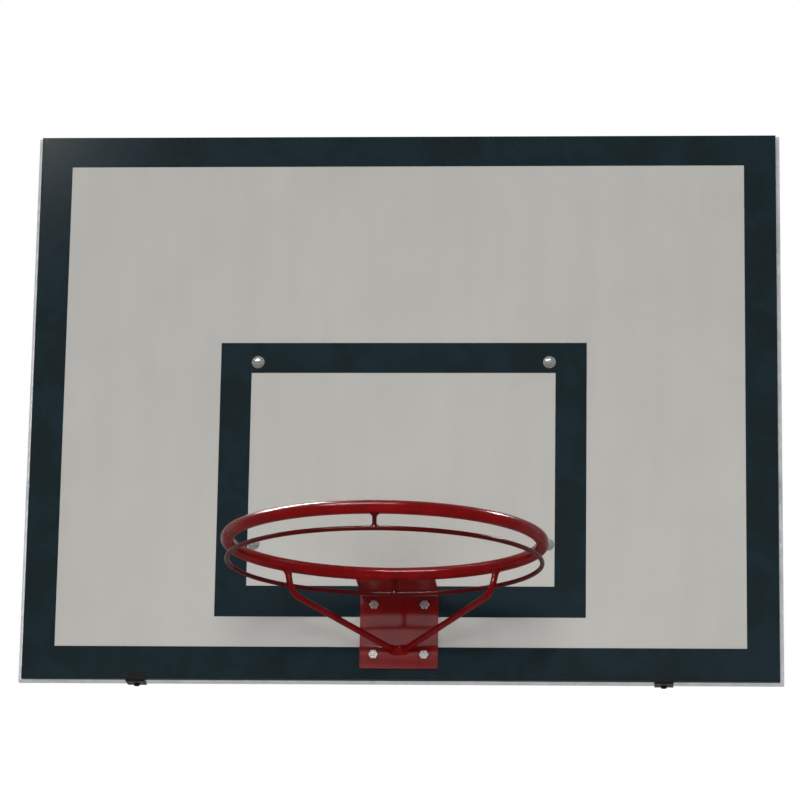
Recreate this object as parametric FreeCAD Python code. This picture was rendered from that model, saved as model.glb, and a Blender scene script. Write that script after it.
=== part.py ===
"""Basketball backboard: framed wooden panel with a welded rim bolted to its face.

Millimetres. The board faces -Y and +Z is up. The origin is the centre of the four mounting studs,
in the plane of their nuts' outer faces, which is where a wall bracket is clamped.
"""

import FreeCAD, Part
import os
from math import asin, cos, radians, sin, sqrt
from FreeCAD import Placement, Rotation, Vector

# Board panel
panel_width = 1200.0
panel_height = 900.0
panel_thickness = 15.0
panel_edge_round = 1.5

# Painted lines
line_width = 50.0
line_thickness = 0.3
target_width = 590.0
target_height = 450.0
target_bottom_height = 100.0

# Steel tube frame behind the panel
rail_width = 30.0
rail_depth = 20.0
rail_wall = 2.0
rail_corner_radius = 3.5
frame_side_overhang = 7.0
frame_edge_overhang = 3.0
cross_rail_height = 160.0

# Plate behind the panel that takes the pull of the rim bolts
backing_plate_width = 170.0
backing_plate_thickness = 5.0

# Fasteners
bolt_diameter = 8.0
bolt_shank_diameter = 7.2
bolt_hole_clearance = 1.0
bolt_across_flats = 13.0
bolt_head_height = 5.3
nut_height = 6.8
nut_thread_clearance = 0.2
thread_chamfer = 1.0
washer_diameter = 16.0
washer_thickness = 1.6
rim_bolt_end = 4.0

# Mounting bolts: dome heads on the face, threaded ends free at the back
mount_spacing_x = 470.0
mount_spacing_z = 300.0
mount_lower_height = 218.0
dome_head_diameter = 19.0
dome_head_height = 4.6
bolt_neck_width = 8.0
bolt_neck_length = 4.0
bolt_neck_clearance = 0.2
stud_free_length = 34.0

# Screws from the back that hold the panel to the frame
screw_diameter = 4.8
screw_hole_clearance = 0.2
screw_head_diameter = 9.4
screw_head_flat_diameter = 5.6
screw_head_height = 3.2
screw_head_side_height = 1.3
screw_bite = 10.0
screw_end_margin = 110.0
screws_per_long_rail = 4
screws_per_short_rail = 3

# Clips that hook the panel's lower edge to the frame
clip_inset = 182.0
clip_width = 30.0
clip_thickness = 2.0
clip_lip_height = 9.0
clip_bend_radius = 2.5
clip_lap = 18.0
clip_screw_length = 10.0

# Ring
ring_inner_diameter = 450.0
ring_bar_diameter = 20.0
ring_gap = 151.0
ring_top_height = 150.0

# Net ring and its posts
net_rod_diameter = 7.0
net_ring_drop = 31.0
post_diameter = 6.6
post_flare_diameter = 15.0
post_flare_height = 6.0
post_flare_lap = 5.0
post_foot_diameter = 10.0
post_foot_height = 3.5

# Bracket
bracket_width = 124.0
bracket_thickness = 5.0
bracket_bend_radius = 5.0
bracket_corner_radius = 4.0
bracket_edge_margin = 22.0
rim_bolt_spacing_x = 80.0
rim_bolt_spacing_z = 80.0
rim_bolt_rail_gap = 11.5

# Braces
brace_diameter = 10.0
brace_angle = 43.5
brace_bend_drop = 15.0
brace_bend_radius = 22.0
brace_foot_spacing = 18.0
brace_foot_height = 30.0

# Space left at every welded joint
weld_gap = 0.1

# Slack when an edge is picked by its place or direction
pick_slack = 0.1

# Places that follow from the sizes
panel_bottom = -(mount_lower_height + mount_spacing_z / 2)
panel_top = panel_bottom + panel_height
frame_back = -(washer_thickness + nut_height)
panel_back = frame_back - rail_depth
panel_face = panel_back - panel_thickness
line_face = panel_face - line_thickness
frame_width = panel_width + 2 * frame_side_overhang
frame_height = panel_height + 2 * frame_edge_overhang
frame_bottom = panel_bottom - frame_edge_overhang
frame_top = panel_top + frame_edge_overhang
bottom_rail_top = frame_bottom + rail_width
top_rail_bottom = frame_top - rail_width
cross_rail_bottom = panel_bottom + cross_rail_height
bolt_hole_diameter = bolt_diameter + bolt_hole_clearance
screw_hole_diameter = screw_diameter + screw_hole_clearance

ring_radius = (ring_inner_diameter + ring_bar_diameter) / 2
ring_centre = Vector(
    0,
    panel_face - ring_gap - ring_inner_diameter / 2,
    panel_bottom + ring_top_height - ring_bar_diameter / 2,
)
net_ring_centre = ring_centre - Vector(0, 0, net_ring_drop)

bracket_front = line_face - bracket_thickness
rim_bolt_bottom = bottom_rail_top + rim_bolt_rail_gap
bracket_bottom = rim_bolt_bottom - bracket_edge_margin

UP = Vector(0, 0, 1)
BACK = Vector(0, 1, 0)
RIGHT = Vector(1, 0, 0)
SIDES = (-1, 1)


def box(x_range, y_range, z_range):
    """Box between two limits along each axis."""
    low, high = zip(x_range, y_range, z_range)
    size = Vector(*high) - Vector(*low)
    return Part.makeBox(size.x, size.y, size.z, Vector(*low))


def rod(diameter, start, end):
    """Straight round bar between two points."""
    return Part.makeCylinder(diameter / 2, (end - start).Length, start, end - start)


def turned(points, place):
    """Solid turned about the Y axis from (radius, distance) points, then moved to a place."""
    profile = Part.makePolygon([Vector(r, y, 0) for r, y in points + points[:1]])
    return Part.Face(profile).revolve(Vector(), BACK, 360).translated(place)


def without(shape, tools):
    """Shape with every tool cut away, as one clean solid."""
    return shape.cut(tools).removeSplitter().Solids[0]


def runs_along(edge, axis):
    """Whether an edge sets off along an axis, in either direction."""
    return abs(edge.tangentAt(edge.FirstParameter).dot(axis)) > 1 - pick_slack


def bent_path(points, radius):
    """Wire of straight runs through points, with a tangent arc of one radius at each corner."""
    edges = []
    start = points[0]
    for before, corner, after in zip(points, points[1:], points[2:]):
        towards = (before - corner).normalize()
        away = (after - corner).normalize()
        half_turn = towards.getAngle(away) / 2
        setback = radius * cos(half_turn) / sin(half_turn)
        bisector = (towards + away).normalize()
        middle = corner + bisector * (radius / sin(half_turn) - radius)
        first = corner + towards * setback
        last = corner + away * setback
        edges.append(Part.LineSegment(start, first).toShape())
        edges.append(Part.Arc(first, middle, last).toShape())
        start = last
    edges.append(Part.LineSegment(start, points[-1]).toShape())
    return Part.Wire(edges)


def sweep(path, profile):
    """Solid swept along a wire from a closed profile at its start."""
    return path.makePipeShell([profile], True, False)


def bent_rod(points, radius, diameter):
    """Round bar bent along a path."""
    heading = points[1] - points[0]
    profile = Part.Wire(Part.makeCircle(diameter / 2, points[0], heading))
    return sweep(bent_path(points, radius), profile)


def bent_strip(points, radius, thickness, width, centre_x):
    """Flat strip bent along a path of points (y, z) at mid-thickness, centred on a place along X."""
    spine = [Vector(centre_x, y, z) for y, z in points]
    heading = (spine[1] - spine[0]).normalize()
    across = RIGHT * (width / 2)
    through = RIGHT.cross(heading) * (thickness / 2)
    corners = [across + through, through - across, -across - through, across - through]
    profile = Part.makePolygon([spine[0] + corner for corner in corners + corners[:1]])
    return sweep(bent_path(spine, radius), profile)


def hexagon(across_flats, height, place):
    """Hexagonal bar along +Y from a place, with both ends chamfered to the flats."""
    corner_radius = across_flats / sqrt(3)
    chamfer = (corner_radius - across_flats / 2) / 2
    corners = [
        place + Vector(corner_radius * cos(radians(a)), 0, corner_radius * sin(radians(a)))
        for a in range(0, 361, 60)
    ]
    prism = Part.Face(Part.makePolygon(corners)).extrude(BACK * height)
    flat = across_flats / 2
    limits = [
        (0, 0),
        (flat, 0),
        (corner_radius, chamfer),
        (corner_radius, height - chamfer),
        (flat, height),
        (0, height),
    ]
    return prism.common(turned(limits, place))


def nut(place):
    """Hexagonal nut standing on a place, with its bore along Y."""
    bore = rod(bolt_shank_diameter + nut_thread_clearance, place, place + BACK * nut_height)
    return hexagon(bolt_across_flats, nut_height, place).cut(bore)


def washer(place):
    """Flat washer lying on a place, with its bore along Y."""
    outer = rod(washer_diameter, place, place + BACK * washer_thickness)
    return outer.cut(rod(bolt_hole_diameter, place, place + BACK * washer_thickness))


def bolt_shank(place, nut_face, end):
    """Rolled shank from a place back through its nut, with the full thread diameter past the nut."""
    shank = rod(bolt_shank_diameter, place, Vector(place.x, nut_face, place.z))
    radius = bolt_diameter / 2
    thread = turned(
        [
            (0, nut_face),
            (radius, nut_face),
            (radius, end - thread_chamfer),
            (radius - thread_chamfer, end),
            (0, end),
        ],
        Vector(place.x, 0, place.z),
    )
    return shank.fuse(thread)


def rectangle_places(spacing_x, y, low_z, spacing_z):
    """Four corners of an upright rectangle centred on the board."""
    heights = (low_z, low_z + spacing_z)
    return [Vector(side * spacing_x / 2, y, z) for side in SIDES for z in heights]


def mount_places(y):
    """Axis points of the mounting bolts at one depth."""
    return rectangle_places(mount_spacing_x, y, -mount_spacing_z / 2, mount_spacing_z)


def rim_bolt_places(y):
    """Axis points of the rim bolts at one depth."""
    return rectangle_places(rim_bolt_spacing_x, y, rim_bolt_bottom, rim_bolt_spacing_z)


def bolt_holes(places):
    """Clearance holes through the whole depth of the board at bolt places."""
    depth = BACK * (frame_back - bracket_front)
    starts = [Vector(p.x, bracket_front, p.z) for p in places]
    return [rod(bolt_hole_diameter, start, start + depth) for start in starts]


def evenly(count, length):
    """Centred places along a length, with the outer ones a screw margin from its ends."""
    reach = length - 2 * screw_end_margin
    return [reach * (i / (count - 1) - 0.5) for i in range(count)]


def panel_screw_places():
    """Where screws enter the back of the four outer rails."""
    mid_z = (frame_bottom + frame_top) / 2
    places = []
    for side in SIDES:
        rail_z = mid_z + side * (frame_height - rail_width) / 2
        rail_x = side * (frame_width - rail_width) / 2
        for x in evenly(screws_per_long_rail, frame_width):
            places.append(Vector(x, frame_back, rail_z))
        for z in evenly(screws_per_short_rail, frame_height):
            places.append(Vector(rail_x, frame_back, mid_z + z))
    return places


def screw_holes():
    """Holes for the panel screws, through the rails and part of the way into the panel."""
    depth = BACK * (rail_depth + screw_bite)
    return [rod(screw_hole_diameter, p - depth, p) for p in panel_screw_places()]


def clip_screw_places():
    """Where the clip screws enter the bottom rail from below."""
    y = (frame_back + panel_back) / 2
    return [Vector(side * (panel_width / 2 - clip_inset), y, frame_bottom) for side in SIDES]


def clip_screw_holes(diameter):
    """Holes for the clip screws, through a clip and the lower wall of the bottom rail."""
    return [
        rod(diameter, p - UP * clip_thickness, p + UP * clip_screw_length) for p in clip_screw_places()
    ]


def board_panel():
    """Wooden board with its edges rounded over and every hole drilled."""
    board = box(
        (-panel_width / 2, panel_width / 2),
        (panel_face, panel_back),
        (panel_bottom, panel_top),
    )
    front_edges = [e for e in board.Edges if e.BoundBox.YMax < panel_face + pick_slack]
    board = board.makeFillet(panel_edge_round, front_edges)
    half_neck = bolt_neck_width / 2 + bolt_neck_clearance
    necks = [
        box(
            (p.x - half_neck, p.x + half_neck),
            (panel_face, panel_face + bolt_neck_length + bolt_neck_clearance),
            (p.z - half_neck, p.z + half_neck),
        )
        for p in mount_places(panel_face)
    ]
    holes = bolt_holes(mount_places(panel_face) + rim_bolt_places(panel_face))
    return without(board, necks + holes + screw_holes())


def line_frame(width, height, bottom):
    """Rectangular painted line on the face, its outer lower edge at a given height."""
    depth = (line_face, panel_face)
    outer = box((-width / 2, width / 2), depth, (bottom, bottom + height))
    inner_half = width / 2 - line_width
    inner = box(
        (-inner_half, inner_half), depth, (bottom + line_width, bottom + height - line_width)
    )
    seats = [
        rod(dome_head_diameter + bolt_hole_clearance, p, p + BACK * line_thickness)
        for p in mount_places(line_face)
    ]
    return without(outer, [inner] + seats + bolt_holes(rim_bolt_places(line_face)))


def border_marking():
    """Line round the edge of the board, up to where the edges are rounded."""
    return line_frame(
        panel_width - 2 * panel_edge_round,
        panel_height - 2 * panel_edge_round,
        panel_bottom + panel_edge_round,
    )


def target_marking():
    """Shooting rectangle, with the upper edge of its base line level with the ring."""
    return line_frame(target_width, target_height, panel_bottom + target_bottom_height)


def rounded_bar(length, depth, width, corner_radius):
    """Solid bar along X, centred, with its long edges rounded."""
    bar = box((-length / 2, length / 2), (-depth / 2, depth / 2), (-width / 2, width / 2))
    long_edges = [e for e in bar.Edges if runs_along(e, RIGHT)]
    return bar.makeFillet(corner_radius, long_edges)


def square_tube(length):
    """Rectangular steel tube along X, centred, with its width along Z."""
    outer = rounded_bar(length, rail_depth, rail_width, rail_corner_radius)
    bore = rounded_bar(
        length, rail_depth - 2 * rail_wall, rail_width - 2 * rail_wall, rail_corner_radius - rail_wall
    )
    return outer.cut(bore)


def placed_tube(length, turn, x, z):
    """Tube turned about Y by some degrees and set against the back of the panel."""
    middle = Vector(x, (frame_back + panel_back) / 2, z)
    return square_tube(length), Placement(middle, Rotation(BACK, turn))


def mitred_rail(length, turn, x, z):
    """Outer rail of the frame, its ends cut at 45 degrees towards the inside of the frame."""
    tube, place = placed_tube(length, turn, x, z)
    half = length / 2
    wedges = []
    for side in SIDES:
        corners = [
            Vector(side * half, -rail_depth, -rail_width / 2),
            Vector(side * half, -rail_depth, rail_width / 2),
            Vector(side * (half - rail_width), -rail_depth, rail_width / 2),
        ]
        wedge = Part.Face(Part.makePolygon(corners + corners[:1])).extrude(BACK * 2 * rail_depth)
        wedges.append(wedge)
    rail = tube.cut(wedges)
    rail.Placement = place
    return without(rail, screw_holes() + clip_screw_holes(screw_hole_diameter))


def frame_bottom_rail():
    return mitred_rail(frame_width, 0, 0, frame_bottom + rail_width / 2)


def frame_top_rail():
    return mitred_rail(frame_width, 180, 0, frame_top - rail_width / 2)


def side_rail(side):
    """Left (-1) or right (+1) rail of the frame."""
    x = side * (frame_width - rail_width) / 2
    return mitred_rail(frame_height, -90 * side, x, (frame_bottom + frame_top) / 2)


def upright(side):
    """Tube from rail to rail behind the mounting bolts on one side."""
    tube, place = placed_tube(
        top_rail_bottom - bottom_rail_top,
        90,
        side * mount_spacing_x / 2,
        (top_rail_bottom + bottom_rail_top) / 2,
    )
    tube.Placement = place
    return without(tube, bolt_holes(mount_places(panel_face)))


def frame_cross_rail():
    """Tube between the uprights, over the backing plate."""
    tube, place = placed_tube(
        mount_spacing_x - rail_width, 0, 0, cross_rail_bottom + rail_width / 2
    )
    tube.Placement = place
    return tube


def ring_backing_plate():
    """Plate let in between the bottom rail and the cross rail, behind the rim bolts."""
    plate = box(
        (-backing_plate_width / 2, backing_plate_width / 2),
        (panel_back, panel_back + backing_plate_thickness),
        (bottom_rail_top, cross_rail_bottom),
    )
    return without(plate, bolt_holes(rim_bolt_places(panel_back)))


def pan_head_screw(length, place):
    """Screw driven towards the front from a place, with a tapered point."""
    radius = screw_diameter / 2
    outline = [
        (0, screw_head_height),
        (screw_head_flat_diameter / 2, screw_head_height),
        (screw_head_diameter / 2, screw_head_side_height),
        (screw_head_diameter / 2, 0),
        (radius, 0),
        (radius, screw_diameter - length),
        (0, -length),
    ]
    return turned(outline, place)


def panel_screws():
    length = rail_depth + screw_bite
    return Part.makeCompound([pan_head_screw(length, p) for p in panel_screw_places()])


def mounting_bolt(place):
    """Coach bolt from the face: domed head, square neck in the panel, long threaded end."""
    dome_radius = (dome_head_diameter**2 / 4 + dome_head_height**2) / (2 * dome_head_height)
    head_front = place - BACK * dome_head_height
    ball = Part.makeSphere(dome_radius, head_front + BACK * dome_radius)
    head = ball.common(rod(dome_head_diameter, head_front, place))
    half_neck = bolt_neck_width / 2
    neck = box(
        (place.x - half_neck, place.x + half_neck),
        (place.y, place.y + bolt_neck_length),
        (place.z - half_neck, place.z + half_neck),
    )
    return head.fuse([neck, bolt_shank(place, 0, stud_free_length)]).removeSplitter().Solids[0]


def mounting_bolts():
    return Part.makeCompound([mounting_bolt(p) for p in mount_places(panel_face)])


def mounting_washers():
    return Part.makeCompound([washer(p) for p in mount_places(frame_back)])


def mounting_nuts():
    return Part.makeCompound([nut(p) for p in mount_places(frame_back + washer_thickness)])


def edge_clip(side):
    """Strip under the bottom rail, bent up in front of the board's painted edge."""
    x = side * (panel_width / 2 - clip_inset)
    middle_z = frame_bottom - clip_thickness / 2
    middle_y = line_face - clip_thickness / 2
    path = [
        (panel_back + clip_lap, middle_z),
        (middle_y, middle_z),
        (middle_y, panel_bottom + clip_lip_height),
    ]
    strip = bent_strip(path, clip_bend_radius, clip_thickness, clip_width, x)
    return without(strip, clip_screw_holes(screw_hole_diameter))


def clip_screw(place):
    """Pan-head screw driven up through a clip into the bottom rail."""
    screw = pan_head_screw(clip_screw_length, Vector())
    screw.Placement = Placement(place - UP * clip_thickness, Rotation(RIGHT, -90))
    return screw


def edge_clip_screws():
    return Part.makeCompound([clip_screw(p) for p in clip_screw_places()])


def ring_solid(bar_diameter, centre):
    """Round bar bent into a level ring of the rim's radius."""
    return Part.makeTorus(ring_radius, bar_diameter / 2, centre, UP)


def ring_seat():
    """Space that the ring and its weld gap take out of the pieces welded to it."""
    return ring_solid(ring_bar_diameter + 2 * weld_gap, ring_centre)


def net_ring_seat():
    """Space that the net ring and its weld gap take out of the pieces welded to it."""
    return ring_solid(net_rod_diameter + 2 * weld_gap, net_ring_centre)


def rim_ring():
    return ring_solid(ring_bar_diameter, ring_centre)


def net_ring():
    return ring_solid(net_rod_diameter, net_ring_centre)


def net_ring_post(side):
    """Post between the rings at the front (-1) or rear (+1), spread where it is welded."""
    radius = post_diameter / 2
    flare = post_flare_diameter / 2
    foot = post_foot_diameter / 2
    top = net_ring_drop - ring_bar_diameter / 2 + post_flare_lap
    neck = net_ring_drop - ring_bar_diameter / 2 - post_flare_height
    ankle = net_rod_diameter / 2 + post_foot_height
    outline = [
        Vector(0, 0, 0),
        Vector(foot, 0, 0),
        Vector(radius, 0, ankle),
        Vector(radius, 0, neck),
        Vector(flare, 0, top),
        Vector(0, 0, top),
    ]
    sag = (foot - radius) / 4
    swell = (flare - radius) / 4
    foot_middle = Vector((foot + radius) / 2 - sag, 0, ankle / 2)
    flare_middle = Vector((flare + radius) / 2 - swell, 0, (neck + top) / 2)
    edges = [
        Part.LineSegment(outline[0], outline[1]),
        Part.Arc(outline[1], foot_middle, outline[2]),
        Part.LineSegment(outline[2], outline[3]),
        Part.Arc(outline[3], flare_middle, outline[4]),
        Part.LineSegment(outline[4], outline[5]),
        Part.LineSegment(outline[5], outline[0]),
    ]
    profile = Part.Face(Part.Wire([edge.toShape() for edge in edges]))
    post = profile.revolve(Vector(), UP, 360)
    post = post.translated(net_ring_centre + BACK * side * ring_radius)
    return without(post, [ring_seat(), net_ring_seat()])


def rim_bracket():
    """Plate folded into an upright leg with bolt holes and a shelf cut to the ring's curve."""
    leg_y = line_face - bracket_thickness / 2
    path = [
        (leg_y, bracket_bottom),
        (leg_y, ring_centre.z),
        (ring_centre.y + ring_radius, ring_centre.z),
    ]
    fold_radius = bracket_bend_radius + bracket_thickness / 2
    plate = bent_strip(path, fold_radius, bracket_thickness, bracket_width, 0)
    lower_corners = [
        e
        for e in plate.Edges
        if runs_along(e, BACK) and e.BoundBox.ZMax < bracket_bottom + pick_slack
    ]
    plate = plate.makeFillet(bracket_corner_radius, lower_corners)
    return without(plate, [ring_seat()] + bolt_holes(rim_bolt_places(line_face)))


def brace(side):
    """Rod from under the ring, leaning in past the net ring, then bent back to the bracket."""
    angle = radians(brace_angle)
    outward = Vector(side * sin(angle), cos(angle), 0)
    clear = (brace_diameter + net_rod_diameter) / 2 + weld_gap
    lean = asin(clear / net_ring_drop)
    drop = (net_ring_drop + brace_bend_drop) / cos(lean)
    top = ring_centre + outward * ring_radius
    bend = top - outward * (drop * sin(lean)) - UP * (drop * cos(lean))
    foot = Vector(side * brace_foot_spacing / 2, bracket_front, bracket_bottom + brace_foot_height)
    end = foot + (foot - bend).normalize() * brace_diameter
    bar = bent_rod([top, bend, end], brace_bend_radius, brace_diameter)
    behind = box(
        (-bracket_width / 2, bracket_width / 2),
        (bracket_front - weld_gap, panel_back),
        (bracket_bottom, ring_centre.z),
    )
    return without(bar, [ring_seat(), behind])


def rim_bolt(place):
    """Hexagon-head bolt from the front of the bracket through to past its nut."""
    head = hexagon(bolt_across_flats, bolt_head_height, place - BACK * bolt_head_height)
    nut_face = panel_back + backing_plate_thickness + washer_thickness + nut_height
    shank = bolt_shank(place, nut_face, nut_face + rim_bolt_end)
    return head.fuse(shank).removeSplitter().Solids[0]


def rim_bolts():
    return Part.makeCompound([rim_bolt(p) for p in rim_bolt_places(bracket_front)])


def rim_washers():
    seat = panel_back + backing_plate_thickness
    return Part.makeCompound([washer(p) for p in rim_bolt_places(seat)])


def rim_nuts():
    seat = panel_back + backing_plate_thickness + washer_thickness
    return Part.makeCompound([nut(p) for p in rim_bolt_places(seat)])


PIECES = {
    "board_panel": board_panel(),
    "border_marking": border_marking(),
    "target_marking": target_marking(),
    "frame_top_rail": frame_top_rail(),
    "frame_bottom_rail": frame_bottom_rail(),
    "frame_left_rail": side_rail(-1),
    "frame_right_rail": side_rail(1),
    "frame_left_upright": upright(-1),
    "frame_right_upright": upright(1),
    "frame_cross_rail": frame_cross_rail(),
    "ring_backing_plate": ring_backing_plate(),
    "panel_screws": panel_screws(),
    "mounting_bolts": mounting_bolts(),
    "mounting_washers": mounting_washers(),
    "mounting_nuts": mounting_nuts(),
    "left_edge_clip": edge_clip(-1),
    "right_edge_clip": edge_clip(1),
    "edge_clip_screws": edge_clip_screws(),
    "rim_bracket": rim_bracket(),
    "rim_ring": rim_ring(),
    "net_ring": net_ring(),
    "net_ring_front_post": net_ring_post(-1),
    "net_ring_rear_post": net_ring_post(1),
    "left_brace": brace(-1),
    "right_brace": brace(1),
    "rim_bolts": rim_bolts(),
    "rim_washers": rim_washers(),
    "rim_nuts": rim_nuts(),
}

os.makedirs("parts", exist_ok=True)
for name, shape in PIECES.items():
    shape.exportStep(f"parts/{name}.step")
    print(name, len(shape.Solids), round(shape.Volume, 1), shape.isValid())
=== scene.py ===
"""Looks of a basketball backboard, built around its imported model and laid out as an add-on.

Metres. The board faces -Y and +Z is up, as in the model.
"""

from math import asin, atan2, cos, pi, radians, sin, sqrt, tau

import bmesh
import bpy
from bpy.props import FloatProperty, FloatVectorProperty, PointerProperty
from bpy.types import Operator, Panel, PropertyGroup
from mathutils import Matrix, Vector


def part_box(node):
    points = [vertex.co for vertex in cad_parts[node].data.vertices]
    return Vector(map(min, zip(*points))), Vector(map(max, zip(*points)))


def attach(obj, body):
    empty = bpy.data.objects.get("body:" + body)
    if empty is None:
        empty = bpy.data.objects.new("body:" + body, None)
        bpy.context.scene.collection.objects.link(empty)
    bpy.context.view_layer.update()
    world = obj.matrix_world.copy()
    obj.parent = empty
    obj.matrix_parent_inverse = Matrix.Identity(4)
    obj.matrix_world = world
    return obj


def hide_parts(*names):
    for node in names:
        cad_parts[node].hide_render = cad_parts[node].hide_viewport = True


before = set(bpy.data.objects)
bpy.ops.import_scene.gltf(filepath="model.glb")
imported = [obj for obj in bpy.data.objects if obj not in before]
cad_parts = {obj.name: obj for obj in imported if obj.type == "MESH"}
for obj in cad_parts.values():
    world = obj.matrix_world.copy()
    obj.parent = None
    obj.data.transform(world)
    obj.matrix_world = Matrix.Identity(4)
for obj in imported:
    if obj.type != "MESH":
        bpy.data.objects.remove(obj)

bl_info = {
    "name": "Basketball backboard",
    "version": (1, 0, 0),
    "blender": (4, 5, 0),
    "location": "3D View > Sidebar > Backboard",
    "description": "Finishes, welds and fasteners of a framed backboard with a fixed rim",
    "category": "Object",
}

BODY = "root"
MM = 0.001
UP = Vector((0, 0, 1))
BACK = Vector((0, 1, 0))

# Places read from the model
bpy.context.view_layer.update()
PANEL_LOW, PANEL_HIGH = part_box("board_panel")
RING_LOW, RING_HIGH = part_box("rim_ring")
NET_LOW, NET_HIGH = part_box("net_ring")
_, BRACKET_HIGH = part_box("rim_bracket")
PLATE_LOW, PLATE_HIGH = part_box("ring_backing_plate")
CROSS_LOW, CROSS_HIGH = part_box("frame_cross_rail")
BOTTOM_LOW, BOTTOM_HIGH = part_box("frame_bottom_rail")
_, TOP_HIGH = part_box("frame_top_rail")
_, MOUNT_NUT_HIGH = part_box("mounting_nuts")
_, RIM_NUT_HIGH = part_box("rim_nuts")

PANEL_MIDDLE = (PANEL_LOW + PANEL_HIGH) / 2
PANEL_HALF = (PANEL_HIGH - PANEL_LOW) / 2
RING_CENTRE = (RING_LOW + RING_HIGH) / 2
BAR_RADIUS = (RING_HIGH.z - RING_LOW.z) / 2
RING_RADIUS = (RING_HIGH.y - RING_LOW.y) / 2 - BAR_RADIUS
NET_CENTRE = (NET_LOW + NET_HIGH) / 2
NET_ROD_RADIUS = (NET_HIGH.z - NET_LOW.z) / 2
SHELF_HALF_THICKNESS = BRACKET_HIGH.z - RING_CENTRE.z
BRACKET_LEG_FRONT = BRACKET_HIGH.y - 2 * SHELF_HALF_THICKNESS

# Nodes that keep their shape and take a finish
GALVANISED_NODES = (
    "frame_top_rail",
    "frame_bottom_rail",
    "frame_left_rail",
    "frame_right_rail",
    "frame_left_upright",
    "frame_right_upright",
    "frame_cross_rail",
    "ring_backing_plate",
)
BRACES = ("left_brace", "right_brace")
NET_RODS = ("net_ring", "net_ring_front_post", "net_ring_rear_post")

# Fixed colours, where there is nothing to choose
DUST = (0.35, 0.30, 0.27)
PASSIVATED = (0.52, 0.48, 0.38)
RUBBED_STEEL = (0.22, 0.22, 0.23)

# Sizes of welds, plies and the floor
CONTACT = 0.3 * MM
WAIST_REACH = 3 * MM
TACK_INSET = 0.6 * MM
TACK_OFFSET = 4.8 * MM
TACK_HALF_LENGTH = 2.6 * MM
PLY_PAIR = 2 * MM
FLOOR_HALF = 60.0
FLOOR_WHITE_FROM = 5.0
FLOOR_WHITE_TO = 25.0


def colour_setting(name, description, default):
    """Colour that a user may change."""
    return FloatVectorProperty(
        name=name, description=description, default=default, subtype="COLOR", min=0, max=1
    )


def length_setting(name, description, default):
    """Length that a user may change, in metres."""
    return FloatProperty(
        name=name, description=description, default=default, subtype="DISTANCE", unit="LENGTH"
    )


def power_setting(name, description, default):
    """Power of a lamp that a user may change, in watts."""
    return FloatProperty(name=name, description=description, default=default, unit="POWER")


class BoardSettings(PropertyGroup):
    """Paints and veneer of the board."""

    paint: colour_setting("Board paint", "Pale paint of the board's face", (0.425, 0.415, 0.392))
    line_blue: colour_setting(
        "Line paint", "Bluer patches of the dark line paint", (0.0065, 0.0165, 0.0225)
    )
    line_green: colour_setting(
        "Line paint, greener",
        "Greener and darker patches of the line paint",
        (0.0050, 0.0115, 0.0130),
    )
    veneer_pale: colour_setting(
        "Veneer", "Pale early wood of the veneer at the back", (0.58, 0.42, 0.25)
    )
    veneer_dark: colour_setting(
        "Veneer grain", "Dark late wood of the veneer at the back", (0.45, 0.295, 0.16)
    )
    edge_round: length_setting(
        "Edge rounding", "Width of the rounded edge, which has the line paint", 1.5 * MM
    )


class SteelSettings(PropertyGroup):
    """Galvanised frame and black clips."""

    zinc_pale: colour_setting(
        "Galvanising", "Pale crystals of the galvanised tubes", (0.56, 0.57, 0.58)
    )
    zinc_dark: colour_setting(
        "Galvanising, darker", "Dark crystals of the galvanised tubes", (0.40, 0.41, 0.43)
    )
    clip_black: colour_setting(
        "Clip paint", "Black paint of the edge clips", (0.005, 0.005, 0.0055)
    )
    weld_radius: length_setting("Frame weld", "Half the width of the frame's weld beads", 2.4 * MM)


class RimSettings(PropertyGroup):
    """Red enamel and welds of the rim."""

    enamel: colour_setting("Enamel", "Red enamel of the rim", (0.166, 0.0016, 0.0020))
    enamel_deep: colour_setting(
        "Enamel, thicker", "Deeper red where the enamel has run thicker", (0.118, 0.0011, 0.0014)
    )
    weld_radius: length_setting("Rim weld", "Half the width of the rim's weld beads", 2.6 * MM)
    foot_weld_radius: length_setting(
        "Foot weld", "Half the width of the weld round the feet of the braces", 3.4 * MM
    )
    tack_radius: length_setting(
        "Tack weld", "Half the width of the tacks between the braces and the net ring", 2.6 * MM
    )
    flare_reach: length_setting(
        "Flared weld", "How far the welds of the posts and braces spread along the ring", 5.5 * MM
    )
    post_diameter: length_setting("Post", "Thickness of the posts between the rings", 6.6 * MM)


class FastenerSettings(PropertyGroup):
    """Bolts, nuts, washers and screws."""

    plating: colour_setting("Plating", "Bright zinc plating of the fasteners", (0.52, 0.52, 0.505))
    thread_pitch: length_setting(
        "Thread pitch", "Advance of the bolt thread in one turn", 1.25 * MM
    )
    across_flats: length_setting(
        "Across flats", "Width of the hexagons of the bolts and nuts", 13.0 * MM
    )
    thread_diameter: length_setting(
        "Thread diameter", "Outer diameter of the bolt thread", 8.0 * MM
    )
    shank_diameter: length_setting(
        "Shank diameter", "Diameter of the rolled shank behind the thread", 7.2 * MM
    )
    recess_width: length_setting(
        "Recess", "Width across the cross recess of the pan-head screws", 5.0 * MM
    )


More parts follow.
